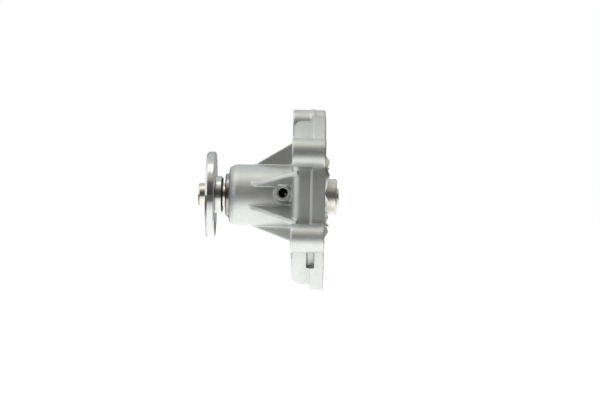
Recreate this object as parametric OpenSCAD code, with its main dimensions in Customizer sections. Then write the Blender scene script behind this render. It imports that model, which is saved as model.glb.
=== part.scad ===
// Engine water pump: cast housing, integral-shaft bearing, face seal, hub and stamped impeller.
// X runs along the shaft, from the pulley hub (-X) to the engine (+X). Z is up.
// The origin is on the shaft axis, in the plane of the housing's mating face. All sizes in mm.

// Which piece to show

/* [Shaft and bearing] */
// Shaft diameter through the bearing
shaft_d = 15.918; // [12:0.002:20]
// Diameter of the nose that centres the pulley, turned down a little from the shaft
pilot_d = 15.6; // [11:0.1:15.8]
// Diameter of the stub that carries the impeller
stub_d = 12; // [9:0.5:14]
// How far the shaft stands in front of the hub's face
shaft_nose = 5.7; // [3:0.1:8]
// How far the shaft stands behind the mating face
shaft_tail = 10.4; // [8:0.1:14]
// Bearing outside diameter
bearing_d = 30; // [26:0.5:36]
// Bearing length
bearing_len = 35.6; // [30:0.1:42]
// Ball diameter
ball_d = 5.2; // [4:0.1:6]
// Balls in each row
ball_count = 9; // [7:1:10]

/* [Hub] */
// Diameter of the pulley flange
hub_d = 60; // [50:1:75]
// Thickness of the pulley flange
hub_t = 6.3; // [4:0.1:9]
// Diameter of the hub's boss
hub_boss_d = 26; // [22:1:32]
// Length of the hub's boss
hub_boss_len = 5.2; // [3:0.1:8]
// Pitch circle of the pulley screws
pulley_pcd = 44; // [38:1:48]
// Tapping diameter of the pulley screws, M6
pulley_tap_d = 5; // [4:0.1:7]
// Pulley screws
pulley_count = 3; // [3:1:6]

/* [Housing] */
// Length of the housing from nose to mating face
housing_len = 65.9; // [60:0.1:75]
// Diameter of the nose
nose_d = 43; // [40:0.5:50]
// Depth of the body behind the nose
body_depth = 22.5; // [20:0.5:28]
// Thickness of the mounting flange
flange_t = 9; // [5:0.5:11]
// How far the body wall stands in from the flange edge
wall_inset = 4; // [3:0.1:5]
// Radius of the body's front edge
front_round = 9; // [5:0.5:11]
// How far the bolt columns stand in front of the body wall
column_rise = 0.6; // [0.3:0.1:1.5]
// Depth of the pumping chamber
chamber_depth = 17.2; // [14:0.1:18]
// Diameter of the cast column round each bolt
column_d = 19.5; // [18:0.5:22]
// Bolt hole diameter, clearance for M8
bolt_d = 9; // [8.4:0.1:9.5]
// Thickness of the stiffening ribs
rib_t = 6; // [4:0.5:8]
// Diameter of the weep hole
weep_d = 6.6; // [4:0.1:8]
// Thickness of the gasket
gasket_t = 0.5; // [0.4:0.1:1.5]

/* [Seal and impeller] */
// Diameter of the seal's seat in the housing
seal_d = 36; // [34:0.5:38]
// Depth of the seal's case
seal_depth = 11; // [10:0.5:12]
// Impeller diameter
impeller_d = 61; // [50:0.5:63]
// Impeller vanes
vane_count = 8; // [5:1:9]
// Thickness of the impeller's sheet
sheet_t = 1.8; // [1.2:0.1:2.5]

/* [Hidden] */
$fn = 96;
run_gap = 0.05;                                  // radial gap between turning and fixed pieces
shaft_r = shaft_d / 2;
pilot_r = pilot_d / 2;
stub_r = stub_d / 2;
bearing_r = bearing_d / 2;
nose_r = nose_d / 2;
seal_r = seal_d / 2;
impeller_r = impeller_d / 2;

// Stations along the shaft
nose_x = -housing_len;
body_x = -body_depth;
wall_x = body_x + column_rise;
bearing_x = nose_x - 2.7;                        // the bearing stands a little out of the nose
bearing_end = bearing_x + bearing_len;
hub_back_x = bearing_x - 1.7;
hub_x = hub_back_x - hub_boss_len - hub_t;       // the face the pulley sits on
shaft_x = hub_x - shaft_nose;
seal_back_x = -12.4;                             // rear face of the seal's seat in the housing
seal_x = seal_back_x - seal_depth;
seat_x = -10.6;                                  // where the carbon meets the ceramic
plate_x = -6.2;                                  // front of the impeller's disc
stub_x = seal_x + 4;                             // where the shaft steps down
slinger_x = (bearing_end + seal_x) / 2;
weep_x = min(slinger_x, body_x - weep_d / 2 - 1);  // the weep hole opens in front of the body
weep_z = 2;
weep_cavity_r = bearing_r - 1.5;

// Bearing: the race is bored, and each ball row runs in a pair of grooves
groove_depth = 0.4795;  // how far each ball sinks into either race
race_bore_r = shaft_r + ball_d - 2 * groove_depth;
ball_r = ball_d / 2;
pitch_r = (shaft_r + race_bore_r) / 2;
groove_r = ball_r + run_gap;
front_row_x = bearing_x + 9;
rear_row_x = bearing_end - 9;
seal_seat_r = race_bore_r + 0.6;
race_chamfer = min(0.8, (bearing_r - seal_seat_r) / 2);
lip_r = shaft_r + run_gap;

// Bolt positions in the mating face, as [y, z]
near_bolt_y = -48;
near_bolt_z = [29.5, -28.5];
far_bolt_y = 26.25;
far_bolt_z = [52, -35.5];
end_bolt = [75, -10];
bolts = [[near_bolt_y, near_bolt_z[0]], [near_bolt_y, near_bolt_z[1]],
         [far_bolt_y, far_bolt_z[0]], [far_bolt_y, far_bolt_z[1]], end_bolt];

// The edge of the mounting flange, without its bolt ears, as [y, z]
flange_edge = [[-46.5, -10], [-46.5, 4], [-46, 15], [-43, 26], [-37.5, 35.5], [-30, 43.5],
               [-21, 50], [-11, 54.8], [0, 56.8], [10.5, 55.2], [19, 48.5], [25.5, 39],
               [33.5, 31], [43.5, 23.5], [54, 15.5], [63, 7.5], [70, -0.5], [73.5, -9],
               [70.5, -18.5], [63, -25], [54, -29.3], [44, -32], [34, -35.2], [24, -38.8],
               [16.5, -43.5], [11, -49.5], [4, -56.5], [-5, -62.2], [-15, -65],
               [-25, -63.8], [-33.5, -58.8], [-39.5, -51], [-43.2, -41.5], [-45.5, -31],
               [-46.3, -20]];
// The mouth of the pumping chamber, with its tongue between the two passages
chamber_edge = [[-38.8, -6], [-38.2, 5], [-35.8, 15], [-31.7, 25], [-26, 34.5], [-20.2, 41.2],
                [-14, 45.7], [-7, 48.9], [0.3, 50.2], [7.2, 49], [12.5, 46], [17.3, 40.5],
                [21.5, 35.2], [26.5, 30], [33, 24.2], [41, 17.6], [49.5, 11.8], [57, 5.6],
                [62, -0.5], [64.4, -6.5], [64.2, -11.5], [60.8, -16.8], [55, -20.3],
                [47, -22.8], [38, -25], [28.5, -27], [18.5, -29.4], [11, -31.8], [7.3, -33.7],
                [6, -36.4], [6, -40], [3.4, -45], [-2, -49.7], [-8, -52.5], [-15, -53.7],
                [-21.7, -53.2], [-27.6, -50.5], [-31.7, -46], [-34.4, -40], [-36.2, -33],
                [-37.8, -24.5], [-38.8, -15.5]];

// A smooth closed curve through the points p, with n steps between each pair
function at(p, i) = p[(i + len(p)) % len(p)];
function spline(a, b, c, d, t) =
    0.5 * (2 * b + (c - a) * t + (2 * a - 5 * b + 4 * c - d) * t * t
           + (3 * b - a - 3 * c + d) * t * t * t);
function smooth(p, n) = [for (i = [0 : len(p) - 1]) for (k = [0 : n - 1])
    spline(at(p, i - 1), at(p, i), at(p, i + 1), at(p, i + 2), k / n)];
// The curve p moved inwards by d, and less where it bends tighter: it runs clockwise in (y, z)
function unit(v) = v / norm(v);
function inward(v) = [v[1], -v[0]];
function bend(a, b, c) = -cross(unit(b - a), unit(c - b)) * 2 / (norm(b - a) + norm(c - b));
function inset(p, d) = [for (i = [0 : len(p) - 1])
    let (a = at(p, i - 1), b = p[i], c = at(p, i + 1))
    b + d / (1 + max(0, d * bend(a, b, c))) * inward(unit(c - a))];
function flange_curve(d) = smooth(inset(flange_edge, d), 3);
function chamber_curve(d) = smooth(inset(chamber_edge, d), 3);

// Places a profile drawn in (y, z) from x0 to x1
module plan(x0, x1) translate([x0, 0, 0]) rotate([90, 0, 90]) linear_extrude(x1 - x0) children();
// Turns a profile drawn as (radius, x) about the shaft
module turned() rotate([0, 90, 0]) rotate_extrude() children();
// A bar of radius r along the shaft from x0 to x1
module bar(r, x0, x1) translate([x0, 0, 0]) rotate([0, 90, 0]) cylinder(r = r, h = x1 - x0);
// A ring along the shaft
module ring(r0, r1, x0, x1) turned() translate([r0, x0]) square([r1 - r0, x1 - x0]);
// A web in the plane through the shaft, turned by a from straight up
module web(a, t, points) rotate([a, 0, 0]) translate([0, t / 2, 0]) rotate([90, 0, 0])
    linear_extrude(t) polygon(points);

// The body behind the nose: the flange's outline stepped in, with a rounded front edge
round_steps = 6;
function level(k) = k == 0 ? [wall_inset, -flange_t + 1]
    : [wall_inset + front_round * (1 - cos((k - 1) * 90 / round_steps)) * 0.92,
       wall_x + front_round - front_round * sin((k - 1) * 90 / round_steps)];
levels = [for (k = [0 : round_steps + 1]) level(k)];
module body_shell() {
    rings = [for (l = levels) [for (q = flange_curve(l[0])) [l[1], q[0], q[1]]]];
    n = len(rings[0]);
    ends = [[levels[0][1], 0, -16], [levels[round_steps + 1][1], 0, -16]];
    points = concat([for (r = rings) for (q = r) q], ends);
    last = (round_steps + 1) * n;
    faces = concat(
        [for (k = [0 : round_steps]) for (i = [0 : n - 1])
            [(k + 1) * n + (i + 1) % n, k * n + (i + 1) % n, k * n + i]],
        [for (k = [0 : round_steps]) for (i = [0 : n - 1])
            [(k + 1) * n + i, (k + 1) * n + (i + 1) % n, k * n + i]],
        [for (i = [0 : n - 1]) [i, (i + 1) % n, len(points) - 2]],
        [for (i = [0 : n - 1]) [last + (i + 1) % n, last + i, len(points) - 1]]);
    polyhedron(points, faces);
}

module nose() turned() polygon([
    [0, nose_x], [nose_r - 2.3, nose_x], [nose_r, nose_x + 4.2], [nose_r, body_x - 8],
    [nose_r + 1.2, body_x - 4], [nose_r + 4.5, body_x - 1], [nose_r + 8, wall_x + 0.4],
    [nose_r + 8, body_x + 3], [0, body_x + 3]]);

// Each side web's [angle from straight up, radius where it meets the body]
side_webs = [[69.6, 43.3], [113.5, 46], [-62, 38], [-100, 42]];
side_rib_t = rib_t * 0.55;
module ribs() {
    foot = body_x + 4;
    // Upright webs above and below the nose
    web(0, rib_t, [[nose_x + 17.9, nose_r - 1], [nose_x + 17.9, nose_r + 0.4],
                   [body_x, 37.2], [foot, 38], [foot, nose_r - 1]]);
    web(180, rib_t, [[nose_x + 16, nose_r - 1], [nose_x + 16, nose_r + 0.3],
                     [body_x - 3, 29.5], [body_x, 32], [foot, 33], [foot, nose_r - 1]]);
    // Webs from the nose out to the body's edge
    for (w = side_webs)
        web(w[0], side_rib_t, [[nose_x + 15.2, nose_r - 1.5], [body_x, w[1]],
                                [foot, w[1] + 0.8], [foot, nose_r - 1.5]]);
}

module columns() for (b = bolts) plan(body_x, 0) translate(b) circle(d = column_d);

module weep_boss() {
    translate([weep_x, 0, weep_z]) rotate([90, 0, 0]) cylinder(r = 6, h = nose_r + 3.4);
    translate([weep_x, -nose_r - 2.2, weep_z - 6.2]) cube([-weep_x + body_x + 1, nose_r + 2, 12.4]);
}

module housing() color([0.66, 0.68, 0.66]) difference() {
    union() {
        body_shell();
        plan(-flange_t, 0) polygon(flange_curve(0));
        columns();
        nose();
        ribs();
        weep_boss();
    }
    difference() {
        plan(-chamber_depth, 1) polygon(chamber_curve(0));
        bar(seal_r + 3.5, -chamber_depth - 1, seal_back_x);
    }
    bar(bearing_r, nose_x - 1, bearing_end);
    bar(weep_cavity_r, bearing_end - 1, seal_x + 1);
    bar(seal_r, seal_x, seal_back_x + 1);
    translate([weep_x, 0, weep_z]) rotate([90, 0, 0]) cylinder(d = weep_d, h = nose_r + 10);
    for (b = bolts) plan(body_x - 1, 1) translate(b) circle(d = bolt_d);
}

module gasket() color([0.36, 0.42, 0.4]) difference() {
    union() {
        plan(0, gasket_t) polygon(flange_curve(0.6));
        for (b = bolts) plan(0, gasket_t) translate(b) circle(d = column_d - 1.2);
    }
    plan(-1, gasket_t + 1) polygon(chamber_curve(-0.6));
    for (b = bolts) plan(-1, gasket_t + 1) translate(b) circle(d = bolt_d);
}

module bearing_outer_race() color([0.72, 0.73, 0.74]) difference() {
    turned() polygon([
        [race_bore_r, bearing_x + 2.8], [seal_seat_r, bearing_x + 2.8], [seal_seat_r, bearing_x],
        [bearing_r - race_chamfer, bearing_x], [bearing_r, bearing_x + race_chamfer],
        [bearing_r, bearing_end - race_chamfer * 0.625],
        [bearing_r - race_chamfer * 0.625, bearing_end],
        [seal_seat_r, bearing_end], [seal_seat_r, bearing_end - 2.8],
        [race_bore_r, bearing_end - 2.8]]);
    for (x = [front_row_x, rear_row_x]) turned() translate([pitch_r, x]) circle(r = groove_r);
}

module shaft() color([0.74, 0.74, 0.76]) difference() {
    turned() polygon([
        [0, shaft_x], [pilot_r - 1, shaft_x], [pilot_r, shaft_x + 1], [pilot_r, hub_x],
        [shaft_r, hub_x], [shaft_r, stub_x - 1],
        [stub_r, stub_x], [stub_r, shaft_tail - 0.8], [stub_r - 0.8, shaft_tail],
        [0, shaft_tail]]);
    for (x = [front_row_x, rear_row_x]) turned() translate([pitch_r, x]) circle(r = groove_r);
}

module balls(x) for (i = [0 : ball_count - 1]) rotate([i * 360 / ball_count, 0, 0])
    translate([x, 0, pitch_r]) sphere(r = ball_r);
module cage(x) difference() {
    ring(shaft_r + 0.7, race_bore_r - 0.7, x - 1.1, x + ball_r + 1);
    for (i = [0 : ball_count - 1]) rotate([i * 360 / ball_count, 0, 0])
        translate([x, 0, pitch_r]) sphere(r = ball_r + run_gap / 2);
}
module front_bearing_balls() color([0.8, 0.8, 0.82]) balls(front_row_x);
module rear_bearing_balls() color([0.8, 0.8, 0.82]) balls(rear_row_x);
module front_bearing_cage() color([0.2, 0.22, 0.2]) cage(front_row_x);
module rear_bearing_cage() color([0.2, 0.22, 0.2]) cage(rear_row_x);

// A lip seal, open towards +X, with its outer edge in the race and its lip over the shaft
module lip_seal() turned() polygon([
    [lip_r, 1.2], [lip_r + 1.2, 0.4], [lip_r + 1.8, 0], [seal_seat_r, 0], [seal_seat_r, 2.4],
    [seal_seat_r - 0.8, 2.4], [seal_seat_r - 0.8, 1.1], [lip_r + 1.6, 1.1], [lip_r + 0.6, 2.2],
    [lip_r, 2.2]]);
module front_bearing_seal() color([0.3, 0.3, 0.22])
    translate([bearing_x + 0.3, 0, 0]) lip_seal();
module rear_bearing_seal() color([0.3, 0.3, 0.22])
    translate([bearing_end - 0.3, 0, 0]) mirror([1, 0, 0]) lip_seal();

module hub_flange() color([0.7, 0.71, 0.72]) difference() {
    turned() polygon([
        [shaft_r, hub_x], [hub_d / 2 - 1.4, hub_x], [hub_d / 2, hub_x + 1.4],
        [hub_d / 2, hub_x + hub_t - 0.9], [hub_d / 2 - 0.9, hub_x + hub_t],
        [hub_boss_d / 2, hub_x + hub_t], [hub_boss_d / 2, hub_back_x - 1.2],
        [hub_boss_d / 2 - 1.2, hub_back_x], [shaft_r, hub_back_x]]);
    for (i = [0 : pulley_count - 1]) rotate([i * 360 / pulley_count, 0, 0])
        translate([0, 0, pulley_pcd / 2]) bar(pulley_tap_d / 2, hub_x - 1, hub_x + hub_t + 1);
}

module water_slinger() color([0.25, 0.25, 0.27]) turned() polygon([
    [shaft_r, slinger_x - 3.4], [shaft_r + 1.2, slinger_x - 3.4], [shaft_r + 1.4, slinger_x - 1.8],
    [weep_cavity_r - 1.6, slinger_x - 2.6], [weep_cavity_r - 1.6, slinger_x - 1.4],
    [shaft_r + 1.4, slinger_x - 0.4], [shaft_r + 1.2, slinger_x + 0.8], [shaft_r, slinger_x + 0.8]]);

// Face seal, fixed half: a pressed case, a rubber bellows, a spring, a retainer and a carbon ring
case_t = 0.9;
throat_r = shaft_r + 1.6;
module seal_case() color([0.72, 0.6, 0.35]) turned() polygon([
    [throat_r, seal_x], [seal_r, seal_x], [seal_r, seal_back_x], [seal_r + 2.5, seal_back_x],
    [seal_r + 2.5, seal_back_x + case_t], [seal_r - case_t, seal_back_x + case_t],
    [seal_r - case_t, seal_x + case_t], [throat_r, seal_x + case_t]]);

carbon_r0 = stub_r + 2.6;
carbon_r1 = stub_r + 6.2;
retainer_x = seat_x - 5.6;
spring_wire = 1.3;
spring_r = seal_r - case_t - 1.5;
bellows_r = min(throat_r + 2.8, spring_r - spring_wire / 2 - 0.3);
module seal_bellows() color([0.14, 0.14, 0.15]) turned() polygon([
    [throat_r + 0.3, seal_x + case_t], [seal_r - case_t - 0.5, seal_x + case_t],
    [seal_r - case_t - 0.5, seal_x + case_t + 1.3], [throat_r + 1.8, seal_x + case_t + 1.3],
    [bellows_r, seal_x + 3.4], [throat_r + 1.5, seal_x + 4.6], [carbon_r0 + 1.6, retainer_x],
    [carbon_r0 + 0.2, retainer_x], [throat_r + 0.3, seal_x + 4.2], [throat_r + 1.5, seal_x + 3.3],
    [throat_r + 0.3, seal_x + 2.4]]);

spring_turns = 2.5;
spring_x0 = seal_x + case_t + 1.3 + spring_wire / 2;
spring_x1 = retainer_x - spring_wire / 2;
spring_sides = 10;
spring_steps = 75;
function wire(k, j) = let (a = spring_turns * 360 * k / spring_steps,
                           b = 360 * j / spring_sides,
                           r = spring_r + spring_wire / 2 * cos(b))
    [spring_x0 + (spring_x1 - spring_x0) * k / spring_steps + spring_wire / 2 * sin(b),
     r * cos(a), r * sin(a)];
module seal_spring() color([0.75, 0.76, 0.78]) polyhedron(
    [for (k = [0 : spring_steps]) for (j = [0 : spring_sides - 1]) wire(k, j)],
    concat(
        [for (k = [0 : spring_steps - 1]) for (j = [0 : spring_sides - 1])
            let (a = k * spring_sides + j, b = k * spring_sides + (j + 1) % spring_sides)
            [a, b, b + spring_sides]],
        [for (k = [0 : spring_steps - 1]) for (j = [0 : spring_sides - 1])
            let (a = k * spring_sides + j, b = k * spring_sides + (j + 1) % spring_sides)
            [a, b + spring_sides, a + spring_sides]],
        [[for (j = [spring_sides - 1 : -1 : 0]) j],
         [for (j = [0 : spring_sides - 1]) spring_steps * spring_sides + j]]));

module seal_retainer() color([0.7, 0.66, 0.5]) turned() polygon([
    [carbon_r0 + 0.2, retainer_x], [spring_r + spring_wire / 2, retainer_x],
    [spring_r + spring_wire / 2, retainer_x + 0.8], [carbon_r1 + 0.8, retainer_x + 0.8],
    [carbon_r1 + 0.8, seat_x - 1.6], [carbon_r1, seat_x - 1.6], [carbon_r1, retainer_x + 0.8],
    [carbon_r0 + 0.2, retainer_x + 0.8]]);

module seal_carbon_ring() color([0.12, 0.12, 0.13]) turned() polygon([
    [carbon_r0, retainer_x + 0.8], [carbon_r1, retainer_x + 0.8], [carbon_r1, seat_x - 1.2],
    [carbon_r1 - 1, seat_x - 1.2], [carbon_r1 - 1, seat_x], [carbon_r0, seat_x]]);

// Face seal, turning half: a ceramic seat in a rubber cup on the stub
seat_gap = 0.03;
cup_t = 1.1;
module seal_ceramic_seat() color([0.93, 0.92, 0.88])
    ring(stub_r + cup_t, carbon_r1 + 0.6, seat_x + seat_gap, seat_x + 3.3);
module seal_seat_cup() color([0.16, 0.16, 0.17]) turned() polygon([
    [stub_r, seat_x + 0.6], [stub_r + cup_t, seat_x + 0.6], [stub_r + cup_t, seat_x + 3.3],
    [carbon_r1 + 0.6, seat_x + 3.3], [carbon_r1 + 0.6, seat_x + 1.2],
    [carbon_r1 + 1.6, seat_x + 1.2], [carbon_r1 + 1.6, plate_x], [stub_r, plate_x]]);

// Impeller: a turned hub, a stamped disc with bent-up vanes, and the rivets between them
impeller_hub_r = 12.5;
impeller_hub_end = shaft_tail - 1.4;
rivet_r = 1.6;
rivet_pcd = 18.6;
rivet_count = 3;
vane_root_r = 14.2;
vane_bend_r = 25;
vane_tip_x = 3.9;
vane_turn = 21;
vane_arc_r = 26;
module rivet_places() for (i = [0 : rivet_count - 1])
    rotate([i * 360 / rivet_count + 20, 0, 0]) translate([0, 0, rivet_pcd / 2]) children();
module impeller_hub() color([0.68, 0.68, 0.66]) difference() {
    turned() polygon([
        [stub_r, plate_x + sheet_t], [impeller_hub_r, plate_x + sheet_t],
        [impeller_hub_r, impeller_hub_end - 0.8], [impeller_hub_r - 0.8, impeller_hub_end],
        [stub_r + 0.5, impeller_hub_end], [stub_r, impeller_hub_end - 0.5]]);
    rivet_places() bar(rivet_r, plate_x, impeller_hub_end + 1);
}
module vane() intersection() {
    plan(plate_x, 6) intersection() {
        difference() {
            translate([vane_arc_r * 0.55, -vane_arc_r * 0.42]) circle(r = vane_arc_r);
            translate([vane_arc_r * 0.55, -vane_arc_r * 0.42]) circle(r = vane_arc_r - sheet_t);
        }
        translate([-40, 0]) square([80, 40]);
    }
    turned() polygon([
        [vane_root_r, plate_x + 0.3], [impeller_r - 0.2, plate_x + 0.3], [impeller_r - 0.2, 0],
        [vane_bend_r, vane_tip_x], [vane_root_r + 1, 0.6], [vane_root_r, 0]]);
}
module impeller_plate() color([0.7, 0.69, 0.62]) difference() {
    union() {
        ring(stub_r, impeller_r, plate_x, plate_x + sheet_t);
        for (i = [0 : vane_count - 1]) rotate([i * 360 / vane_count + vane_turn, 0, 0]) vane();
    }
    rivet_places() bar(rivet_r, plate_x - 1, 1);
}
module impeller_rivets() color([0.6, 0.6, 0.6]) rivet_places()
    bar(rivet_r, plate_x, impeller_hub_end);

housing();
gasket();
bearing_outer_race();
shaft();
front_bearing_balls();
front_bearing_cage();
rear_bearing_balls();
rear_bearing_cage();
front_bearing_seal();
rear_bearing_seal();
hub_flange();
water_slinger();
seal_case();
seal_bellows();
seal_spring();
seal_retainer();
seal_carbon_ring();
seal_ceramic_seat();
seal_seat_cup();
impeller_hub();
impeller_plate();
impeller_rivets();
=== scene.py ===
"""Looks of the engine water pump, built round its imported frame.

Lengths are written in millimetres and become metres in mesh_piece(). X runs along the shaft.
"""

import math

import bpy
import numpy as np
import openvdb
from mathutils import Matrix, Vector


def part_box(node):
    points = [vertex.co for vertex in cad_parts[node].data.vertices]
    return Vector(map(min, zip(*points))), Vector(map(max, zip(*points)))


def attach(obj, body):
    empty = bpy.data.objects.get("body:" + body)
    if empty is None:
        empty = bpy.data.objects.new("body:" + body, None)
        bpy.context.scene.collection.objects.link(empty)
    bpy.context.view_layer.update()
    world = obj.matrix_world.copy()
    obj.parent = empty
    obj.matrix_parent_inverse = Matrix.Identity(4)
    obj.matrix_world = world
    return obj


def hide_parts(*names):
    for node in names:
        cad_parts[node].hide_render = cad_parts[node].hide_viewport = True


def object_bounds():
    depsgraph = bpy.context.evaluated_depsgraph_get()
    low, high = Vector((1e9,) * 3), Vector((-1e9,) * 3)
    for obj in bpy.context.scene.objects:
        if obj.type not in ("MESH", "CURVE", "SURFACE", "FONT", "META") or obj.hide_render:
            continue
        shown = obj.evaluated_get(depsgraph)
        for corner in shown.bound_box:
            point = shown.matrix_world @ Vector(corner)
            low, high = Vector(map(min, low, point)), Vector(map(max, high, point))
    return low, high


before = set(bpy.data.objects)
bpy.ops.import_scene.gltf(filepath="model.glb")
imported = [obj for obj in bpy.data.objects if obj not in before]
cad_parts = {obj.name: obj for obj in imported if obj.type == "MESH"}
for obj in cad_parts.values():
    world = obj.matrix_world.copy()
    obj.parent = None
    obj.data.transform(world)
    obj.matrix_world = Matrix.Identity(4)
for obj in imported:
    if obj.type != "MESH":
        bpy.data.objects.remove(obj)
CAD_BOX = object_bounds()
MM = 0.001
TURN = 2 * math.pi

# Sizes that the frame's own nodes give
HOUSING_LOW, HOUSING_HIGH = (np.array(c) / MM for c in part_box("housing"))
HUB_LOW, HUB_HIGH = (np.array(c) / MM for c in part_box("hub_flange"))
SHAFT_LOW, SHAFT_HIGH = (np.array(c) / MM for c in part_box("shaft"))
RACE_LOW, RACE_HIGH = (np.array(c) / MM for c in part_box("bearing_outer_race"))
SEAL_LOW, SEAL_HIGH = (np.array(c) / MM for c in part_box("front_bearing_seal"))
PLATE_LOW = np.array(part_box("impeller_plate")[0]) / MM
BOSS_LOW, BOSS_HIGH = (np.array(c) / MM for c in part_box("impeller_hub"))

# The shaft's radii: at its bearing, at the nose that centres the pulley, under the impeller
SHAFT_R = 7.959
PILOT_R = 7.8
STUB_R = 6.0

# The smallest radius in a turned profile, which keeps its mesh off the axis
AXIS_GAP = 0.02

# The housing: its body's front, its bolt columns as (y, z), and its flange's thickness
BODY_X = -22.5
BOLTS = [(-48.0, 29.5), (-48.0, -28.5), (26.25, 52.0), (26.25, -35.5), (75.0, -10.0)]
BOLT_R = 4.5
COLUMN_R = 9.75
FLANGE_T = 9.0


# ---------------------------------------------------------------- meshes


def mesh_piece(name, points, faces, smooth_angle=35):
    """A mesh object at the origin from points in millimetres and a face array."""
    mesh = bpy.data.meshes.new(name)
    points = np.asarray(points, dtype=np.float64) * MM
    mesh.from_pydata(points.tolist(), [], [list(map(int, f)) for f in faces])
    mesh.validate()
    piece = bpy.data.objects.new(name, mesh)
    bpy.context.scene.collection.objects.link(piece)
    mesh.polygons.foreach_set("use_smooth", np.ones(len(mesh.polygons), dtype=bool))
    if smooth_angle:
        mesh.set_sharp_from_angle(angle=math.radians(smooth_angle))
    return piece


def grid_faces(rows, cols, offset=0):
    """Quads of a grid whose columns close on themselves and whose rows do not."""
    r = np.arange(rows - 1)[:, None] * cols
    c = np.arange(cols)[None, :]
    n = (c + 1) % cols
    quads = np.stack([r + c, r + n, r + cols + n, r + cols + c], axis=-1).reshape(-1, 4)
    return quads + offset


def rounded(profile, radii, steps=5):
    """A closed profile whose corner i is replaced by an arc of radii[i], as steps + 1 points,
    with one more point close by on each side that keeps the flats beside it flat in shading."""
    p = np.asarray(profile, dtype=float)
    r = np.broadcast_to(np.asarray(radii, dtype=float), len(p))
    back = np.roll(p, 1, axis=0) - p
    ahead = np.roll(p, -1, axis=0) - p
    lb, la = np.linalg.norm(back, axis=1), np.linalg.norm(ahead, axis=1)
    ub, ua = back / lb[:, None], ahead / la[:, None]
    cos = np.clip((ub * ua).sum(1), -0.999, 0.999)
    cut = np.minimum(r / np.tan(np.arccos(cos) / 2), 0.45 * np.minimum(lb, la))
    t = np.linspace(0, 1, steps + 1)[None, :, None]
    a, b = (p + ub * cut[:, None])[:, None], (p + ua * cut[:, None])[:, None]
    arc = a * (1 - t) ** 2 + 2 * p[:, None] * t * (1 - t) + b * t**2
    guard = cut + np.minimum(0.06, 0.04 * np.minimum(lb, la))
    first, last = p + ub * guard[:, None], p + ua * guard[:, None]
    return np.concatenate([first[:, None], arc, last[:, None]], axis=1).reshape(-1, 2)


def outward(points, faces):
    """The faces of a closed part, all turned round if its signed volume, the sum of
    a . (b x c) / 6 over its triangles (a, b, c), is negative."""
    fans = np.array([(f[0], f[i], f[i + 1]) for f in faces for i in range(1, len(f) - 1)])
    a, b, c = np.asarray(points, dtype=float)[fans].transpose(1, 0, 2)
    if np.einsum("ij,ij->", a, np.cross(b, c)) > 0:
        return [list(f) for f in faces]
    return [list(f)[::-1] for f in faces]


def lathe(profile, segments=160):
    """Points and quads of a closed (radius, x) profile turned about the shaft:
    (x, r sin a, r cos a) for each angle a round the turn."""
    p = np.asarray(profile, dtype=float)
    a = np.arange(segments) * TURN / segments
    ring = np.stack(
        [
            np.repeat(p[:, 1][:, None], segments, 1),
            p[:, 0][:, None] * np.sin(a)[None],
            p[:, 0][:, None] * np.cos(a)[None],
        ],
        axis=-1,
    )
    points = ring.reshape(-1, 3)
    quads = grid_faces(len(p) + 1, segments) % len(points)
    return points, outward(points, quads.tolist())


def turned_piece(name, profile, radii=0.3, segments=160):
    """A turned piece with a small radius on every corner of its profile."""
    points, quads = lathe(rounded(profile, radii), segments)
    return mesh_piece(name, points, quads)


def joined(name, parts, smooth_angle=35):
    """One mesh piece from several closed (points, faces) parts."""
    points, faces, base = [], [], 0
    for part_points, part_faces in parts:
        points.append(part_points)
        faces += [[i + base for i in face] for face in part_faces]
        base += len(part_points)
    return mesh_piece(name, np.concatenate(points), faces, smooth_angle)


def about_shaft(points, angle):
    """The points turned by an angle about the shaft, as the frame's rotate about X."""
    c, s = math.cos(angle), math.sin(angle)
    turn = np.array([[1, 0, 0], [0, c, -s], [0, s, c]])
    return np.asarray(points) @ turn.T


# ---------------------------------------------------------------- the casting as a distance field

FLANGE_EDGE = [
    (-46.5, -10), (-46.5, 4), (-46, 15), (-43, 26), (-37.5, 35.5), (-30, 43.5), (-21, 50),
    (-11, 54.8), (0, 56.8), (10.5, 55.2), (19, 48.5), (25.5, 39), (33.5, 31), (43.5, 23.5),
    (54, 15.5), (63, 7.5), (70, -0.5), (73.5, -9), (70.5, -18.5), (63, -25), (54, -29.3),
    (44, -32), (34, -35.2), (24, -38.8), (16.5, -43.5), (11, -49.5), (4, -56.5), (-5, -62.2),
    (-15, -65), (-25, -63.8), (-33.5, -58.8), (-39.5, -51), (-43.2, -41.5), (-45.5, -31),
    (-46.3, -20),
]
CHAMBER_EDGE = [
    (-38.8, -6), (-38.2, 5), (-35.8, 15), (-31.7, 25), (-26, 34.5), (-20.2, 41.2), (-14, 45.7),
    (-7, 48.9), (0.3, 50.2), (7.2, 49), (12.5, 46), (17.3, 40.5), (21.5, 35.2), (26.5, 30),
    (33, 24.2), (41, 17.6), (49.5, 11.8), (57, 5.6), (62, -0.5), (64.4, -6.5), (64.2, -11.5),
    (60.8, -16.8), (55, -20.3), (47, -22.8), (38, -25), (28.5, -27), (18.5, -29.4), (11, -31.8),
    (7.3, -33.7), (6, -36.4), (6, -40), (3.4, -45), (-2, -49.7), (-8, -52.5), (-15, -53.7),
    (-21.7, -53.2), (-27.6, -50.5), (-31.7, -46), (-34.4, -40), (-36.2, -33), (-37.8, -24.5),
    (-38.8, -15.5),
]


def spline_loop(points, steps=3):
    """A closed Catmull-Rom curve: the cubic through each point with the tangent of its
    neighbours, sampled steps times between two points."""
    p = np.asarray(points, dtype=float)
    a, b, c, d = (np.roll(p, k, axis=0)[:, None] for k in (1, 0, -1, -2))
    t = (np.arange(steps) / steps)[None, :, None]
    q = 2 * b + (c - a) * t + (2 * a - 5 * b + 4 * c - d) * t**2
    return (0.5 * (q + (3 * b - a - 3 * c + d) * t**3)).reshape(-1, 2)


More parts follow.
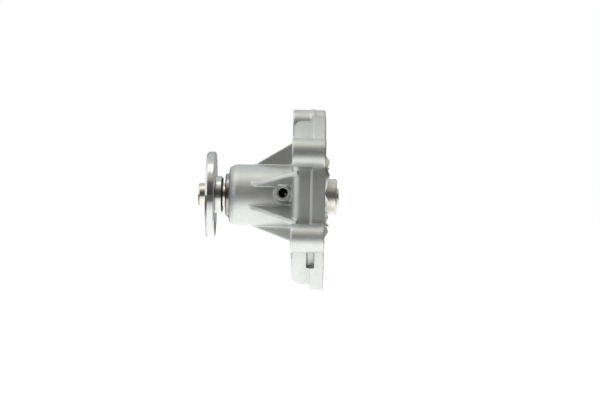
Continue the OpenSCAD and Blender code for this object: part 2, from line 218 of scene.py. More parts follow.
def loop_distance(y, z, loop):
    """Signed distance in the plane to a closed loop: the nearest edge's distance, negative
    inside, where a ray crosses the edges an odd number of times."""
    a = loop[:, None, None, :]
    b = np.roll(loop, -1, axis=0)[:, None, None, :]
    py, pz = y[None] - a[..., 0], z[None] - a[..., 1]
    ey, ez = b[..., 0] - a[..., 0], b[..., 1] - a[..., 1]
    t = np.clip((py * ey + pz * ez) / (ey**2 + ez**2), 0, 1)
    near = np.sqrt(((py - t * ey) ** 2 + (pz - t * ez) ** 2).min(axis=0))
    spans = (a[..., 1] > z[None]) != (b[..., 1] > z[None])
    hit = py < ey * (pz / np.where(ez == 0, 1, ez))
    odd = (spans & hit).sum(axis=0) % 2 == 1
    return np.where(odd, -near, near).astype(np.float32)


def blend_min(a, b, k):
    """The union of two fields with a fillet of about k where they meet."""
    h = np.clip(0.5 + 0.5 * (b - a) / k, 0, 1)
    return b + (a - b) * h - k * h * (1 - h)


def blend_max(a, b, k):
    """The intersection of two fields with an edge rounded by about k."""
    return -blend_min(-a, -b, k)


def round_corner(a, b, r):
    """The intersection of two fields whose common edge is an arc of radius r."""
    qa, qb = a + r, b + r
    return np.minimum(np.maximum(qa, qb), 0) + np.hypot(np.maximum(qa, 0), np.maximum(qb, 0)) - r


# Webs: angle from straight up, half thickness, and the outer edge from (x, r) to (x, r)
WEBS = [
    (0, 3.0, (-48.0, 21.9), (-22.5, 37.4)),
    (180, 3.0, (-49.9, 21.8), (-23.5, 31.5)),
    (69.6, 1.3, (-51.0, 20.6), (-22.5, 43.0)),
    (113.5, 1.6, (-52.4, 20.6), (-22.5, 44.5)),
    (-62, 1.5, (-50.4, 20.3), (-22.5, 38.0)),
    (-100, 1.5, (-50.4, 20.3), (-22.5, 42.0)),
]
# The nose, and the cosine, sine and length of the bevel at its front
NOSE_R = 21.5
BEVEL_COS, BEVEL_SIN, BEVEL_LENGTH = 0.877, 0.48, 4.2

# The body's wall: how far it stands in from the flange, its front, and its rounded edge
WALL_INSET = 4.0
WALL_X = BODY_X + 0.6
WALL_ROUND = 6.0

WEEP_X, WEEP_Z, WEEP_R = -28.2, 2.0, 3.3
WEEP_BOSS_R = 6.0

# Inside: the chamber, and the bores as (radius, front x, back x)
CHAMBER_DEPTH = 17.2
SEAL_WALL_R, SEAL_WALL_X = 21.5, -12.4
THROAT = (13.5, -34, -22.4)
SEAL_SEAT = (18.0, -23.4, -11.0)
RACE_SEAT_R, RACE_SEAT_END = 15.0, -33.0


def casting_field(h):
    """The housing's signed distance on a grid of step h: nose, body, flange, columns, webs and
    weep boss joined with fillets, then the chamber and the bores cut out."""
    low = HOUSING_LOW - 3 * h
    high = HOUSING_HIGH + np.array([3 * h, 3 * h, 3 * h])
    x, y, z = (np.arange(low[i], high[i], h, dtype=np.float32) for i in range(3))
    ys, zs = np.meshgrid(y, z, indexing="ij")
    outer = loop_distance(ys, zs, spline_loop(FLANGE_EDGE))[None]
    inner = loop_distance(ys, zs, spline_loop(CHAMBER_EDGE))[None]
    X, Y, Z = x[:, None, None], ys[None], zs[None]
    R = np.hypot(Y, Z)

    nose_x = HOUSING_LOW[0]
    nose = np.maximum(R - NOSE_R, nose_x - X)
    bevel = BEVEL_COS * (R - NOSE_R) - BEVEL_SIN * (X - nose_x - BEVEL_LENGTH)
    nose = blend_max(nose, bevel, 0.8)
    nose = np.maximum(nose, X + 15)
    body = round_corner(outer + WALL_INSET, WALL_X - X, WALL_ROUND)
    field = blend_min(nose, body, 3.5)
    for degrees, half, (x1, r1), (x2, r2) in WEBS:
        a = math.radians(degrees)
        up = -math.sin(a) * Y + math.cos(a) * Z
        side = np.abs(math.cos(a) * Y + math.sin(a) * Z)
        length = math.hypot(x2 - x1, r2 - r1)
        edge = ((x2 - x1) * (up - r1) - (r2 - r1) * (X - x1)) / length
        web = np.maximum(edge, side - half)
        web = np.maximum(web, np.maximum(X - BODY_X - 4, 15 - up))
        field = blend_min(field, web, 0.8)
    for by, bz in BOLTS:
        column = np.hypot(Y - by, Z - bz) - COLUMN_R
        field = blend_min(field, round_corner(column, BODY_X - X, 0.5), 1.0)
    seam = np.abs(X + 8.4) - 1.5
    far = BOLTS[2]
    ridge = np.maximum(np.hypot(Y - far[0], Z - far[1]) - COLUMN_R - 0.5, seam)
    field = blend_min(field, ridge, 0.5)
    flange = round_corner(outer, -FLANGE_T - X, 0.5)
    field = blend_min(field, flange, 0.5)
    groove = np.maximum(np.abs(X + 8.6) - 2.5, -7.2 - outer)
    groove = np.maximum(groove, np.maximum(Y - 2, np.abs(Z + 39.0) - 9.8))
    groove = np.maximum(groove, COLUMN_R + 0.3 - np.hypot(Y - BOLTS[1][0], Z - BOLTS[1][1]))
    field = np.maximum(field, -groove)
    boss = round_corner(np.hypot(X - WEEP_X, Z - WEEP_Z) - WEEP_BOSS_R, -24.9 - Y, 0.7)
    block = np.maximum(np.abs(Z - WEEP_Z) - 6.2, np.maximum(WEEP_X - X, X - BODY_X - 1))
    boss = blend_min(np.maximum(boss, Y), np.maximum(block, np.maximum(-23.9 - Y, Y)), 0.6)
    field = blend_min(field, boss, 1.4)

    chamber = round_corner(inner, -CHAMBER_DEPTH - X, 3.0)
    chamber = blend_max(chamber, -np.maximum(R - SEAL_WALL_R, X - SEAL_WALL_X), 1.5)
    field = np.maximum(field, -chamber)
    field = np.maximum(field, -np.maximum(R - RACE_SEAT_R, X - RACE_SEAT_END))
    for radius, front, back in (THROAT, SEAL_SEAT):
        field = np.maximum(field, -np.maximum(R - radius, np.maximum(front - X, X - back)))
    weep = np.maximum(np.hypot(X - WEEP_X, Z - WEEP_Z) - WEEP_R, Y)
    field = np.maximum(field, -weep)
    for by, bz in BOLTS:
        bolt = np.hypot(Y - by, Z - bz)
        field = np.maximum(field, BOLT_R - bolt)
        cone = bolt - (BOLT_R + 0.7 - (X - BODY_X))
        field = np.maximum(field, -np.maximum(0.7 * cone, bolt - (BOLT_R + 1.2)))
    field = np.maximum(field, X)
    return field, low


QUICK_STEP, FULL_STEP = 1.2, 0.62
MOST_TRIANGLES, THINNED_TRIANGLES = 190000, 185000


def casting(name):
    """The casting's field turned into a mesh: quads where it is zero, then thinned."""
    h = FULL_STEP
    field, low = casting_field(h)
    volume = openvdb.FloatGrid(3.0 * h)
    volume.copyFromArray(np.clip(field, -3 * h, 3 * h).astype(np.float32))
    points, quads = volume.convertToQuads(0.0)
    points = points * h + low
    piece = mesh_piece(name, points, quads, smooth_angle=0)
    if len(quads) * 2 > MOST_TRIANGLES:
        thin = piece.modifiers.new("thin", "DECIMATE")
        thin.ratio = THINNED_TRIANGLES / (len(quads) * 2)
        bpy.context.view_layer.objects.active = piece
        bpy.context.view_layer.update()
        graph = bpy.context.evaluated_depsgraph_get()
        mesh = bpy.data.meshes.new_from_object(piece.evaluated_get(graph))
        piece.modifiers.clear()
        piece.data = mesh
        mesh.polygons.foreach_set("use_smooth", np.ones(len(mesh.polygons), dtype=bool))
    return piece


# ---------------------------------------------------------------- materials


class Nodes:
    """A short way to add and link nodes in one tree."""

    def __init__(self, tree):
        self.tree = tree

    def add(self, kind, inputs=None, **settings):
        node = self.tree.nodes.new(kind)
        for key, value in settings.items():
            setattr(node, key, value)
        for key, value in (inputs or {}).items():
            if isinstance(value, bpy.types.NodeSocket):
                self.tree.links.new(value, node.inputs[key])
            else:
                node.inputs[key].default_value = value
        return node

    def math(self, operation, a, b=0.0, c=0.0):
        return self.add("ShaderNodeMath", {0: a, 1: b, 2: c}, operation=operation).outputs[0]

    def mix(self, factor, a, b):
        node = self.add("ShaderNodeMix", data_type="RGBA")
        for socket, value in ((0, factor), (6, a), (7, b)):
            if isinstance(value, bpy.types.NodeSocket):
                self.tree.links.new(value, node.inputs[socket])
            else:
                node.inputs[socket].default_value = value
        return node.outputs[2]


def effect_group(name, inputs, outputs):
    """An empty shader group with float inputs and named outputs, and its two end nodes."""
    tree = bpy.data.node_groups.new(name, "ShaderNodeTree")
    for key, value in inputs.items():
        socket = tree.interface.new_socket(key, in_out="INPUT", socket_type="NodeSocketFloat")
        socket.default_value = value
    for key in outputs:
        tree.interface.new_socket(key, in_out="OUTPUT", socket_type="NodeSocketFloat")
    n = Nodes(tree)
    return n, n.add("NodeGroupInput"), n.add("NodeGroupOutput")


def grain_group():
    """Cast or blasted grain: fine and coarse noise mixed, as a tone from 0 to 1 and a height."""
    n, start, end = effect_group(
        "blasted_grain", {"Fine": 2600.0, "Coarse": 160.0}, ["Tone", "Height", "Cloud"]
    )
    place = n.add("ShaderNodeTexCoord").outputs["Object"]
    fine = n.add("ShaderNodeTexNoise", {"Vector": place, "Scale": start.outputs["Fine"]})
    fine.inputs["Detail"].default_value = 3.0
    pits = n.add("ShaderNodeTexVoronoi", {"Vector": place, "Scale": start.outputs["Fine"]})
    cloud = n.add("ShaderNodeTexNoise", {"Vector": place, "Scale": start.outputs["Coarse"]})
    cloud.inputs["Detail"].default_value = 4.0
    tone = n.math("MULTIPLY_ADD", fine.outputs["Fac"], 0.7, n.math(
        "MULTIPLY", pits.outputs["Distance"], 0.3))
    n.tree.links.new(tone, end.inputs["Tone"])
    height = n.math("ADD", fine.outputs["Fac"], n.math("MULTIPLY", cloud.outputs["Fac"], 0.5))
    n.tree.links.new(height, end.inputs["Height"])
    n.tree.links.new(cloud.outputs["Fac"], end.inputs["Cloud"])
    return n.tree


def turning_group():
    """Lathe marks: a sine of the distance from the shaft's axis plus a sine along it, broken
    up by noise, as a height."""
    n, start, end = effect_group("lathe_marks", {"Pitch": 0.0004, "Waver": 0.3}, ["Height", "Tone"])
    place = n.add("ShaderNodeTexCoord").outputs["Object"]
    split = n.add("ShaderNodeSeparateXYZ", {"Vector": place})
    radius = n.math("SQRT", n.math("ADD", n.math("MULTIPLY", split.outputs[1], split.outputs[1]),
                                   n.math("MULTIPLY", split.outputs[2], split.outputs[2])))
    along = n.math("ADD", radius, split.outputs[0])
    noise = n.add("ShaderNodeTexNoise", {"Vector": place, "Scale": 900.0})
    phase = n.math("MULTIPLY_ADD", n.math("DIVIDE", along, start.outputs["Pitch"]), TURN,
                   n.math("MULTIPLY", noise.outputs["Fac"],
                          n.math("MULTIPLY", start.outputs["Waver"], 12.0)))
    wave = n.math("SINE", phase)
    n.tree.links.new(n.math("MULTIPLY_ADD", wave, 0.5, 0.5), end.inputs["Height"])
    blotch = n.add("ShaderNodeTexNoise", {"Vector": place, "Scale": 120.0})
    n.tree.links.new(blotch.outputs["Fac"], end.inputs["Tone"])
    return n.tree


GRAIN = grain_group()
TURNING = turning_group()


def shade(colour, factor):
    """A colour made lighter or darker, with full opacity."""
    return tuple(min(1.0, c * factor) for c in colour[:3]) + (1.0,)


def new_material(name, metallic, roughness):
    """A node material with its metallic and roughness set, its nodes and its shader."""
    material = bpy.data.materials.new(name)
    material.use_nodes = True
    tree = material.node_tree
    shader = tree.nodes["Principled BSDF"]
    shader.inputs["Metallic"].default_value = metallic
    shader.inputs["Roughness"].default_value = roughness
    return material, Nodes(tree), shader


def grained(name, colour, metallic, roughness, fine=2600.0, coarse=160.0, contrast=0.25,
            bump=0.2, depth=0.0001, rough_swing=0.12):
    """A grained surface: its colour and roughness follow the grain, and a bump raises it."""
    material, n, shader = new_material(name, metallic, roughness)
    grain = n.add("ShaderNodeGroup")
    grain.node_tree = GRAIN
    grain.inputs["Fine"].default_value = fine
    grain.inputs["Coarse"].default_value = coarse
    tone = n.add("ShaderNodeMapRange", {"Value": grain.outputs["Tone"], 1: 0.3, 2: 0.65})
    colours = n.mix(tone.outputs[0], shade(colour, 1 - contrast), shade(colour, 1 + contrast))
    cloud = n.add("ShaderNodeMapRange", {"Value": grain.outputs["Cloud"], 1: 0.3, 2: 0.7})
    colours = n.mix(n.math("MULTIPLY", cloud.outputs[0], 0.35), colours, shade(colour, 0.82))
    n.tree.links.new(colours, shader.inputs["Base Color"])
    rough = n.math("MULTIPLY_ADD", tone.outputs[0], rough_swing, roughness - rough_swing / 2)
    n.tree.links.new(rough, shader.inputs["Roughness"])
    raised = n.add("ShaderNodeBump", {"Strength": bump, "Distance": depth,
                                      "Height": grain.outputs["Height"]})
    n.tree.links.new(raised.outputs["Normal"], shader.inputs["Normal"])
    return material


def turned(name, colour, roughness, pitch=0.0004, bump=0.12, stain=0.2, tint=None):
    """Turned or ground metal: lathe marks in the bump and faint stains in colour and gloss."""
    material, n, shader = new_material(name, 1.0, roughness)
    marks = n.add("ShaderNodeGroup")
    marks.node_tree = TURNING
    marks.inputs["Pitch"].default_value = pitch
    tone = n.add("ShaderNodeMapRange", {"Value": marks.outputs["Tone"], 1: 0.35, 2: 0.7})
    stained = tint + (1.0,) if tint else shade(colour, 1 - stain)
    n.tree.links.new(n.mix(tone.outputs[0], shade(colour, 1.0), stained),
                     shader.inputs["Base Color"])
    rough = n.math("MULTIPLY_ADD", tone.outputs[0], 0.1, roughness - 0.05)
    n.tree.links.new(rough, shader.inputs["Roughness"])
    raised = n.add("ShaderNodeBump", {"Strength": bump, "Distance": 0.00005,
                                      "Height": marks.outputs["Height"]})
    n.tree.links.new(raised.outputs["Normal"], shader.inputs["Normal"])
    return material


def cast_material():
    """Blasted cast aluminium, with its machined faces milled smoother: the mating face and the
    nose's front, picked out by where they are."""
    material = grained("blasted_aluminium", (0.50, 0.515, 0.50), 0.8, 0.42, fine=2300.0,
                       coarse=120.0, contrast=0.13, bump=0.35, depth=0.00012)
    n = Nodes(material.node_tree)
    shader = n.tree.nodes["Principled BSDF"]
    cast_colour = shader.inputs["Base Color"].links[0].from_socket
    cast_rough = shader.inputs["Roughness"].links[0].from_socket
    place = n.add("ShaderNodeTexCoord").outputs["Object"]
    x = n.add("ShaderNodeSeparateXYZ", {"Vector": place}).outputs[0]
    milled = n.math("GREATER_THAN", x, -0.00025)
    nose = n.math("LESS_THAN", x, float(HOUSING_LOW[0] * MM + 0.0002))
    mask = n.math("MAXIMUM", milled, nose)
    swirl = n.add("ShaderNodeTexWave", {"Vector": place, "Scale": 700.0, "Distortion": 1.5},
                  wave_type="RINGS", rings_direction="X")
    lines = n.mix(swirl.outputs["Fac"], (0.60, 0.61, 0.60, 1), (0.74, 0.75, 0.74, 1))
    n.tree.links.new(n.mix(mask, cast_colour, lines), shader.inputs["Base Color"])
    n.tree.links.new(n.math("MULTIPLY_ADD", mask, -0.2, cast_rough), shader.inputs["Roughness"])
    return material


def dress(piece, material):
    """Gives a piece or a frame node one material on all its faces."""
    piece.data.materials.clear()
    piece.data.materials.append(material)


CAST = cast_material()
HUB_STEEL = turned("turned_plated_steel", (0.49, 0.50, 0.495), 0.16, pitch=0.0005, bump=0.04,
                   stain=0.1)
SHAFT_STEEL = turned("ground_steel", (0.52, 0.51, 0.48), 0.2, pitch=0.00025, bump=0.03,
                     tint=(0.50, 0.46, 0.40))
RACE_STEEL = turned("bearing_steel", (0.29, 0.29, 0.27), 0.2, pitch=0.0003, bump=0.03)
BALL_STEEL = grained("ball_steel", (0.75, 0.75, 0.77), 1.0, 0.1, fine=900.0, contrast=0.04,
                     bump=0.02, rough_swing=0.05)
CAGE = grained("cage_moulding", (0.05, 0.07, 0.04), 0.0, 0.5, fine=1800.0, contrast=0.25)
SEAL_RUBBER = grained("seal_rubber", (0.10, 0.09, 0.05), 0.0, 0.45, fine=1500.0, contrast=0.3)
BLACK_RUBBER = grained("black_rubber", (0.025, 0.025, 0.028), 0.0, 0.6, fine=1500.0,
                       contrast=0.35)
BRASS = turned("pressed_brass", (0.72, 0.55, 0.28), 0.3, pitch=0.0006, stain=0.3)
SPRING_WIRE = grained("spring_wire", (0.62, 0.62, 0.63), 1.0, 0.28, fine=3000.0, contrast=0.08,
                      bump=0.08)
CARBON = grained("lapped_carbon", (0.03, 0.03, 0.033), 0.1, 0.4, fine=2200.0, contrast=0.3)
CERAMIC = grained("ceramic", (0.85, 0.83, 0.76), 0.0, 0.22, fine=1800.0, contrast=0.05,
                  bump=0.04)
IMPELLER_SHEET = grained("stamped_steel", (0.50, 0.51, 0.47), 0.95, 0.34, fine=1800.0,
                         coarse=90.0, contrast=0.12, bump=0.12)
IMPELLER_BOSS = turned("turned_sintered_steel", (0.58, 0.57, 0.53), 0.34, pitch=0.0005,
                       bump=0.2)
RIVET_STEEL = grained("rivet_steel", (0.52, 0.52, 0.50), 1.0, 0.35, fine=2500.0)
GASKET_SHEET = grained("gasket_sheet", (0.30, 0.34, 0.33), 0.0, 0.7, fine=2000.0,
                       coarse=260.0, contrast=0.22, bump=0.25)


# ---------------------------------------------------------------- pieces


def place_piece(piece, body, slot, material, *nodes):
    """Gives a piece its material and body, and hides the CAD nodes that it stands for; its slot is
    not used.
    """
    dress(piece, material)
    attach(piece, body)
    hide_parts(*nodes)


TAP_R, THREAD_DEPTH, THREAD_PITCH = 2.5, 0.3, 1.0


def tap_cutter(y, z, x0, x1):
    """A threaded bar that cuts a tapped hole: its radius is the tapping radius plus a
    triangle wave of x / pitch - angle / turn, so the ridges climb as a helix."""
    rows, cols = 90, 24
    x = np.linspace(x0, x1, rows)[:, None]
    a = (np.arange(cols) * TURN / cols)[None]
    phase = (x / THREAD_PITCH - a / TURN) % 1.0
    r = TAP_R + THREAD_DEPTH * np.abs(2 * phase - 1)
    points = np.stack([np.broadcast_to(x, r.shape), y + r * np.sin(a), z + r * np.cos(a)], -1)
    points = np.concatenate([points.reshape(-1, 3), [[x0, y, z], [x1, y, z]]])
    quads = grid_faces(rows, cols)
    i = np.arange(cols)
    n = (i + 1) % cols
    first = np.stack([np.full(cols, rows * cols), n, i], 1)
    last = (rows - 1) * cols
    end = np.stack([np.full(cols, rows * cols + 1), last + i, last + n], 1)
    faces = quads.tolist() + first.tolist() + end.tolist()
    return mesh_piece("tap_cutter", points, outward(points, faces), 0)


def cut(piece, cutters):
    """Takes the cutters out of a piece and leaves the result as its plain mesh."""
    for cutter in cutters:
        taking = piece.modifiers.new("cut", "BOOLEAN")
        taking.operation = "DIFFERENCE"
        taking.solver = "EXACT"
        taking.object = cutter
    bpy.context.view_layer.update()
    graph = bpy.context.evaluated_depsgraph_get()
    mesh = bpy.data.meshes.new_from_object(piece.evaluated_get(graph))
    piece.modifiers.clear()
    piece.data = mesh
    mesh.set_sharp_from_angle(angle=math.radians(35))
    for cutter in cutters:
        bpy.data.objects.remove(cutter)


HUB_FLANGE_T = 6.3
HUB_BOSS_R = 13.0
PULLEY_HOLES = 3
PULLEY_CIRCLE_R = 22.0


def hub_piece():
    """The pulley hub: a turned profile with its chamfers, and three tapped holes."""
    x0, x1, x2 = HUB_LOW[0], HUB_LOW[0] + HUB_FLANGE_T, HUB_HIGH[0]
    r = HUB_HIGH[2]
    profile = [(SHAFT_R, x0), (r - 1.4, x0), (r, x0 + 1.4), (r, x1 - 0.9), (r - 0.9, x1),
               (HUB_BOSS_R, x1), (HUB_BOSS_R, x2 - 1.2), (HUB_BOSS_R - 1.2, x2), (SHAFT_R, x2)]
    radii = [0.25, 0.4, 0.4, 0.3, 0.3, 0.8, 0.3, 0.3, 0.25]
    piece = turned_piece("pulley_hub", profile, radii, 192)
    places = [about_shaft([[0, 0, PULLEY_CIRCLE_R]], k * TURN / PULLEY_HOLES)[0]
              for k in range(PULLEY_HOLES)]
    cut(piece, [tap_cutter(p[1], p[2], x0 - 0.7, x1 + 0.7) for p in places])
    return piece


STUB_STEP_X = -19.4


def shaft_piece():
    """The bearing shaft: ground bar with chamfered ends, a centre hole in its nose, and its step
    to the impeller's stub."""
    x0, x1 = SHAFT_LOW[0], SHAFT_HIGH[0]
    outline = [(0.0, x0 + 3.2), (1.1, x0 + 1.6), (2.2, x0), (PILOT_R - 1.0, x0),
               (PILOT_R, x0 + 1.0), (PILOT_R, HUB_LOW[0]), (SHAFT_R, HUB_LOW[0]),
               (SHAFT_R, STUB_STEP_X - 1.0), (STUB_R, STUB_STEP_X),
               (STUB_R, x1 - 0.8), (STUB_R - 0.8, x1), (1.6, x1), (0.0, x1 - 1.6)]
    radii = [0, 0.2, 0.2, 0.25, 0.25, 0.02, 0.02, 0.2, 0.2, 0.2, 0.2, 0.2, 0]
    profile = rounded(outline, radii, 4)
    profile[:, 0] = np.maximum(profile[:, 0], AXIS_GAP)
    points, quads = lathe(profile, 128)
    return mesh_piece("bearing_shaft", points, quads)


DISC_R = 30.5
DISC_T = 1.8
VANES = 8
VANE_TURN = math.radians(21)
VANE_ARC_R = 26.0
VANE_ARC_CENTRE = (26.0 * 0.55, -26.0 * 0.42)
VANE_ARC_SPAN = (50, 112)
VANE_INNER_R, VANE_OUTER_R = 14.0, 30.2
VANE_HALF_T = 0.8
# The vane's top edge: its x at each distance from the shaft
VANE_TOP_R, VANE_TOP_X = [14.0, 15.4, 25.0, 30.2], [-0.2, 0.7, 3.75, 0.0]


def vane(angle):
    """One bent-up vane as a closed curved sheet: its middle line is an arc about a point off
    the shaft, and its top edge rises to a point and falls away again with the radius."""
    s = np.linspace(*(math.radians(end) for end in VANE_ARC_SPAN), 40)
    mid = np.array(VANE_ARC_CENTRE)[None] + (VANE_ARC_R - 0.9) * np.stack(
        [np.cos(s), np.sin(s)], -1)
    radius = np.hypot(mid[:, 0], mid[:, 1])
    keep = (radius > VANE_INNER_R) & (radius < VANE_OUTER_R)
    mid, radius, s = mid[keep], radius[keep], s[keep]
    out = np.stack([np.cos(s), np.sin(s)], -1)
    top = np.interp(radius, VANE_TOP_R, VANE_TOP_X)
    t = np.linspace(0, TURN, 17)[:-1]
    across = VANE_HALF_T * np.sign(np.cos(t)) * np.abs(np.cos(t)) ** 0.35
    rise = 0.5 + 0.5 * np.sign(np.sin(t)) * np.abs(np.sin(t)) ** 0.35
    base = PLATE_LOW[0] + 0.5
    yz = mid[:, None] + out[:, None] * across[None, :, None]
    x = base + (top[:, None] - base) * rise[None]
    points = np.concatenate([x[..., None], yz], -1)
    rows, cols = points.shape[:2]
    faces = grid_faces(rows, cols).tolist()
    faces.append(list(range(cols))[::-1])
    faces.append([(rows - 1) * cols + i for i in range(cols)])
    points = about_shaft(points.reshape(-1, 3), angle)
    return points, outward(points, faces)


def impeller_disc_piece():
    """The stamped impeller: a flat disc with a rolled edge and its vanes standing on it."""
    x0 = PLATE_LOW[0]
    profile = rounded([(STUB_R, x0), (DISC_R, x0), (DISC_R, x0 + DISC_T), (STUB_R, x0 + DISC_T)],
                      0.45)
    points, quads = lathe(profile, 192)
    vanes = [vane(VANE_TURN + k * TURN / VANES) for k in range(VANES)]
    return joined("impeller_disc", [(points, quads)] + vanes, 40)


def impeller_boss_piece():
    """The impeller's turned boss, with rounded chamfers at its free end."""
    x0, x1, r = BOSS_LOW[0], BOSS_HIGH[0], BOSS_HIGH[2]
    profile = [(STUB_R, x0), (r, x0), (r, x1 - 0.9), (r - 0.9, x1), (STUB_R + 0.6, x1),
               (STUB_R, x1 - 0.6)]
    return turned_piece("impeller_boss", profile, 0.25, 160)


RIVETS = 3
RIVET_R = 1.6
RIVET_CIRCLE_R = 9.3
RIVET_TURN = math.radians(20)
RIVET_PROUD = 0.1


def rivets_piece():
    """Three rivets through the impeller's boss, their ends standing just proud of it."""
    x0, x1 = PLATE_LOW[0] - RIVET_PROUD, BOSS_HIGH[0] + RIVET_PROUD
    outline = [(AXIS_GAP, x0), (RIVET_R, x0), (RIVET_R, x1), (AXIS_GAP, x1)]
    profile = rounded(outline, [0, 0.2, 0.2, 0], 3)
    points, quads = lathe(profile, 32)
    points = points + np.array([0, 0, RIVET_CIRCLE_R])
    parts = [(about_shaft(points, RIVET_TURN + k * TURN / RIVETS), quads) for k in range(RIVETS)]
    return joined("impeller_rivet_set", parts, 40)


RACE_BORE_R, SEAL_STEP_R, SEAL_STEP_LENGTH = 12.2, 12.8, 2.8


def race_piece():
    """The bearing's outer ring, with its seal seats at both ends."""
    x0, x1, r = RACE_LOW[0], RACE_HIGH[0], RACE_HIGH[2]
    step0, step1 = x0 + SEAL_STEP_LENGTH, x1 - SEAL_STEP_LENGTH
    profile = [(RACE_BORE_R, step0), (SEAL_STEP_R, step0), (SEAL_STEP_R, x0), (r - 0.8, x0),
               (r, x0 + 0.8), (r, x1 - 0.5), (r - 0.5, x1), (SEAL_STEP_R, x1),
               (SEAL_STEP_R, step1), (RACE_BORE_R, step1)]
    return turned_piece("bearing_ring", profile, 0.12, 144)


def lip_seal_piece():
    """The front lip seal, with a moulded bead round its face."""
    x0, x1 = SEAL_LOW[0], SEAL_HIGH[0]
    lip = SHAFT_R + 0.05
    profile = [(lip, x0 + 1.2), (lip + 1.2, x0 + 0.4), (lip + 1.8, x0), (11.0, x0 + 0.1),
               (11.6, x0 + 0.5), (12.2, x0 + 0.1), (SEAL_STEP_R, x0 + 0.2), (SEAL_STEP_R, x1),
               (12.0, x1), (12.0, x0 + 1.2), (lip + 1.6, x0 + 1.2), (lip + 0.6, x0 + 2.2),
               (lip, x0 + 2.2)]
    return turned_piece("bearing_lip_seal", profile, 0.15, 128)


place_piece(casting("pump_casting"), "pump_body", "cast_aluminium", CAST, "housing")
place_piece(hub_piece(), "rotor", "hub_steel", HUB_STEEL, "hub_flange")
place_piece(shaft_piece(), "rotor", "shaft_steel", SHAFT_STEEL, "shaft")
place_piece(impeller_disc_piece(), "rotor", "impeller_sheet", IMPELLER_SHEET, "impeller_plate")
place_piece(impeller_boss_piece(), "rotor", "impeller_steel", IMPELLER_BOSS, "impeller_hub")
place_piece(rivets_piece(), "rotor", "rivet_steel", RIVET_STEEL, "impeller_rivets")
place_piece(race_piece(), "pump_body", "bearing_steel", RACE_STEEL, "bearing_outer_race")
place_piece(lip_seal_piece(), "pump_body", "seal_rubber", SEAL_RUBBER, "front_bearing_seal")

NODE_MATERIALS = {
    "gasket": GASKET_SHEET,
    "front_bearing_balls": BALL_STEEL,
    "rear_bearing_balls": BALL_STEEL,
    "front_bearing_cage": CAGE,
    "rear_bearing_cage": CAGE,
    "rear_bearing_seal": SEAL_RUBBER,
    "water_slinger": BLACK_RUBBER,
    "seal_case": BRASS,
    "seal_bellows": BLACK_RUBBER,
    "seal_spring": SPRING_WIRE,
    "seal_retainer": BRASS,
    "seal_carbon_ring": CARBON,
    "seal_ceramic_seat": CERAMIC,
    "seal_seat_cup": BLACK_RUBBER,
}
for node_name, node_material in NODE_MATERIALS.items():
    dress(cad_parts[node_name], node_material)


# ---------------------------------------------------------------- floor, light and camera


NEAR_FLOOR = 0.12
FAR_FLOOR = 0.25


def floor():
    """A pale light table just under the pump. The camera sees it white all over, and it lights
    the pump only from close by, fading out between NEAR_FLOOR and FAR_FLOOR."""
    z = CAD_BOX[0][2] / MM - 2.0
    a = np.arange(64) * TURN / 64
    ring = np.stack([4000 * np.cos(a), 4000 * np.sin(a), np.full(64, z)], -1)
    piece = mesh_piece("light_table", ring, [list(range(64))], 0)
    material, n, shader = new_material("light_table", 0.0, 0.6)
    place = n.add("ShaderNodeTexCoord").outputs["Object"]
    away = n.add("ShaderNodeVectorMath", {0: place}, operation="LENGTH").outputs["Value"]
    near = n.add("ShaderNodeMapRange", {"Value": away, 1: NEAR_FLOOR, 2: FAR_FLOOR, 3: 1.0, 4: 0.1})
    n.tree.links.new(near.outputs[0], shader.inputs["Base Color"])
    shader.inputs["Specular IOR Level"].default_value = 0.0
    seen = n.add("ShaderNodeLightPath").outputs["Is Camera Ray"]
    n.tree.links.new(n.math("MAXIMUM", seen, near.outputs[0]), shader.inputs["Emission Strength"])
    shader.inputs["Emission Color"].default_value = (1.0, 1.0, 1.0, 1)
    dress(piece, material)


# The light tent's brightness by height, from straight down (0) to straight up (1)
NEAR_TENT = [(0.0, 1.2), (0.235, 1.1), (0.3, 0.14), (0.52, 0.08), (0.76, 0.2), (0.87, 0.9),
             (1.0, 1.0)]
FAR_TENT = [(0.0, 1.2), (0.235, 1.0), (0.34, 0.5), (0.6, 0.42), (0.87, 0.9), (1.0, 1.1)]
PULLEY_SIDE = (1.6, 1.6, 1.6, 1)
NEAR_TINT, FAR_TINT = (1.0, 0.95, 0.86), (0.98, 1.0, 1.0)


def tent_ramp(n, height, stops, tint):
    """The tent's tinted brightness as a colour ramp over the height."""
    ramp = n.add("ShaderNodeValToRGB", {"Fac": height})
    colours = [(at, tuple(level * c for c in tint) + (1,)) for at, level in stops]
    first, last = ramp.color_ramp.elements
    first.position, first.color = colours[0]
    last.position, last.color = colours[-1]
    for position, colour in colours[1:-1]:
        ramp.color_ramp.elements.new(position).color = colour
    return ramp.outputs["Color"]


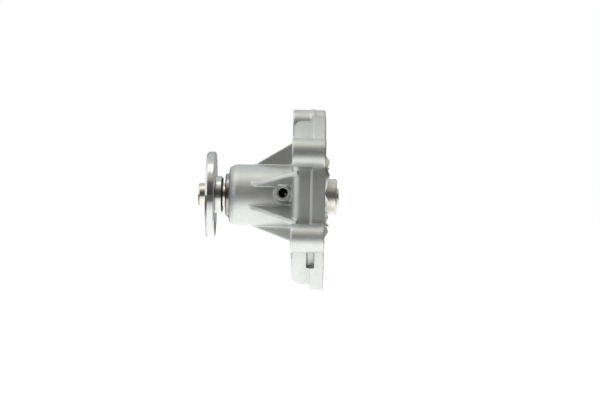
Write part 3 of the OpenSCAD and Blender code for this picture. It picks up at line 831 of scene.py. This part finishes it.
def world_light():
    """White surroundings for the camera. What lights the pump is a soft tent: bright above and
    below, with a dark band at the horizon on the camera's side and a grey one behind."""
    world = bpy.data.worlds.new("light_tent")
    bpy.context.scene.world = world
    world.use_nodes = True
    n = Nodes(world.node_tree)
    n.tree.nodes.clear()
    direction = n.add("ShaderNodeTexCoord").outputs["Generated"]
    split = n.add("ShaderNodeSeparateXYZ", {"Vector": direction})
    height = n.math("MULTIPLY_ADD", split.outputs[2], 0.5, 0.5)
    behind = n.add("ShaderNodeMapRange", {"Value": split.outputs[1], 1: -0.25, 2: 0.35})
    colour = n.mix(behind.outputs[0], tent_ramp(n, height, NEAR_TENT, NEAR_TINT),
                   tent_ramp(n, height, FAR_TENT, FAR_TINT))
    pulley_side = n.add("ShaderNodeMapRange", {"Value": split.outputs[0], 1: -0.35, 2: -0.8})
    colour = n.mix(pulley_side.outputs[0], colour, PULLEY_SIDE)
    tent = n.add("ShaderNodeBackground", {"Color": colour, "Strength": 1.0})
    white = n.add("ShaderNodeBackground", {"Color": (1, 1, 1, 1), "Strength": 1.0})
    seen = n.add("ShaderNodeLightPath").outputs["Is Camera Ray"]
    both = n.add("ShaderNodeMixShader", {0: seen, 1: tent.outputs[0], 2: white.outputs[0]})
    n.add("ShaderNodeOutputWorld", {"Surface": both.outputs[0]})


CAMERA_PLACE = (-0.0165, -1.361, -0.0026)
CAMERA_LENS = 116.7
CAMERA_ROLL = math.radians(1.2)


def camera():
    """A long lens square to the shaft, turned by CAMERA_ROLL about its own axis."""
    data = bpy.data.cameras.new("camera")
    data.sensor_width = 36.0
    data.lens = CAMERA_LENS
    data.clip_end = 20.0
    eye = bpy.data.objects.new("camera", data)
    right = Vector((math.cos(CAMERA_ROLL), 0, math.sin(CAMERA_ROLL)))
    up = Vector((-math.sin(CAMERA_ROLL), 0, math.cos(CAMERA_ROLL)))
    back = Vector((0, -1, 0))
    turn = Matrix((right, up, back)).transposed().to_4x4()
    eye.matrix_world = Matrix.Translation(Vector(CAMERA_PLACE)) @ turn
    bpy.context.scene.collection.objects.link(eye)
    bpy.context.scene.camera = eye


def soft_light(name, place, size, watts):
    """A square soft box that faces the pump."""
    data = bpy.data.lights.new(name, "AREA")
    data.size = size
    data.energy = watts
    lamp = bpy.data.objects.new(name, data)
    lamp.location = place
    lamp.rotation_euler = (-Vector(place)).to_track_quat("-Z", "Y").to_euler()
    bpy.context.scene.collection.objects.link(lamp)


floor()
world_light()
camera()
soft_light("top_box", (-0.3, -0.25, 0.9), 0.6, 1.5)
bpy.context.scene.view_settings.view_transform = "Standard"
